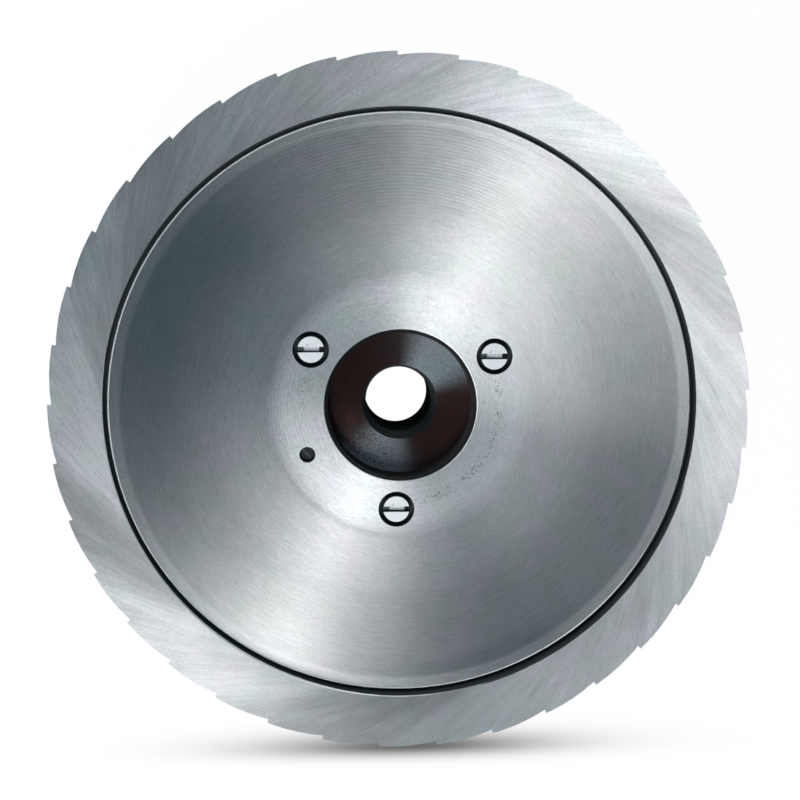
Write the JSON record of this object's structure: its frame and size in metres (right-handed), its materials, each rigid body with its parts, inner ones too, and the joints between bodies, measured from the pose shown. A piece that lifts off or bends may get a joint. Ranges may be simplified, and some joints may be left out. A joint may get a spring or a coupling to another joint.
{
  "type": "food slicer blade",
  "caption": "Round food slicer blade with saw teeth, a ground rim and a dished face, held by slotted screws on a black hub with a sleeve and a shaft bore.",
  "frame": {"origin": "on the axis of rotation, in the rear face of the hub, on which the part rests", "axes": "+Z along the axis of rotation, from the hub's rear face to the hollow front of the blade; +Y towards the top of the picture"},
  "size_m": [0.2498, 0.2499, 0.062],
  "materials": {
    "blade_steel": "turned and ground",
    "blackened_steel": "black oxide, worn",
    "screw_steel": "bright, scuffed",
    "pin_steel": "dark, oiled"
  },
  "bodies": {
    "root": {"blade": "blade_steel", "hub": "blackened_steel", "screw_1": "screw_steel", "screw_2": "screw_steel", "screw_3": "screw_steel", "locating_pin": "pin_steel"}
  },
  "joints": []
}
